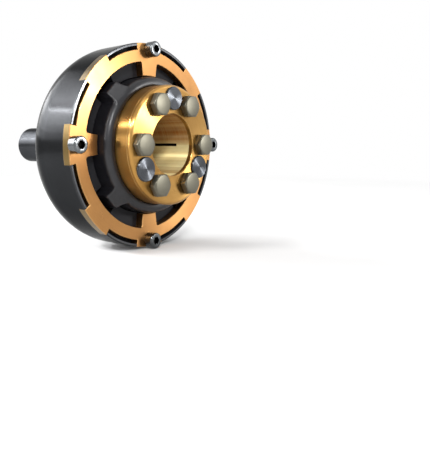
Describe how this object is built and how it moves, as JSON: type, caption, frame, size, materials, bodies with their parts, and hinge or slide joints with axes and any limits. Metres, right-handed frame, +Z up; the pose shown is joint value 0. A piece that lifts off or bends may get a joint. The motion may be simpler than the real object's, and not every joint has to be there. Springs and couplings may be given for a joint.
{
  "type": "flexible shaft coupling",
  "caption": "Flexible shaft coupling: bell-shaped black housing with a claw ring, a lobed rubber spider and a bolted hub with a bore, plain shaft end at the back.",
  "frame": {"origin": "on the coupling's axis, in the plane of the claw ring's front face, inside the front shaft bore", "axes": "+X along the axis, out of the front shaft bore; +Z up with one claw screw at the top; +Y to the right seen from the front"},
  "size_m": [0.2046, 0.1724, 0.1724],
  "materials": {
    "black_steel": "gloss black",
    "ground_steel": "fine turned",
    "ring_brass": "satin",
    "hub_brass": "polished",
    "screw_chrome": "bright",
    "pin_steel": "turned end faces",
    "bolt_steel": "satin",
    "rubber": "matte moulded"
  },
  "bodies": {
    "housing_side": {"housing": "black_steel", "rear_shaft": "ground_steel", "claw_ring": "ring_brass", "claw_screw_1": "screw_chrome", "claw_screw_2": "screw_chrome", "claw_screw_3": "screw_chrome", "claw_screw_4": "screw_chrome"},
    "spider": {"rubber_spider": "rubber"},
    "pin_carrier": {"bush": "ground_steel", "drive_pin_1": "pin_steel", "drive_pin_2": "pin_steel", "drive_pin_3": "pin_steel"},
    "hub_side": {"hub": "hub_brass", "clamp_plate": "hub_brass", "split_sleeve": "hub_brass", "hub_bolt_1": "bolt_steel", "hub_bolt_2": "bolt_steel", "hub_bolt_3": "bolt_steel", "hub_bolt_4": "bolt_steel", "hub_bolt_5": "bolt_steel", "hub_bolt_6": "bolt_steel"}
  },
  "joints": [
    {"name": "tilt", "type": "hinge", "parent": "housing_side", "child": "spider", "pos_m": [-0.02, 0, 0], "axis": [0, 1, 0], "range_deg": [-1, 1], "stiffness_Nm_per_rad": 400},
    {"name": "wind_up", "type": "hinge", "parent": "spider", "child": "pin_carrier", "pos_m": [0, 0, 0], "axis": [1, 0, 0], "range_deg": [-4, 4], "stiffness_Nm_per_rad": 300},
    {"name": "axial_float", "type": "slide", "parent": "pin_carrier", "child": "hub_side", "axis": [1, 0, 0], "range_m": [-0.0015, 0.0015], "stiffness_N_per_m": 20000}
  ]
}
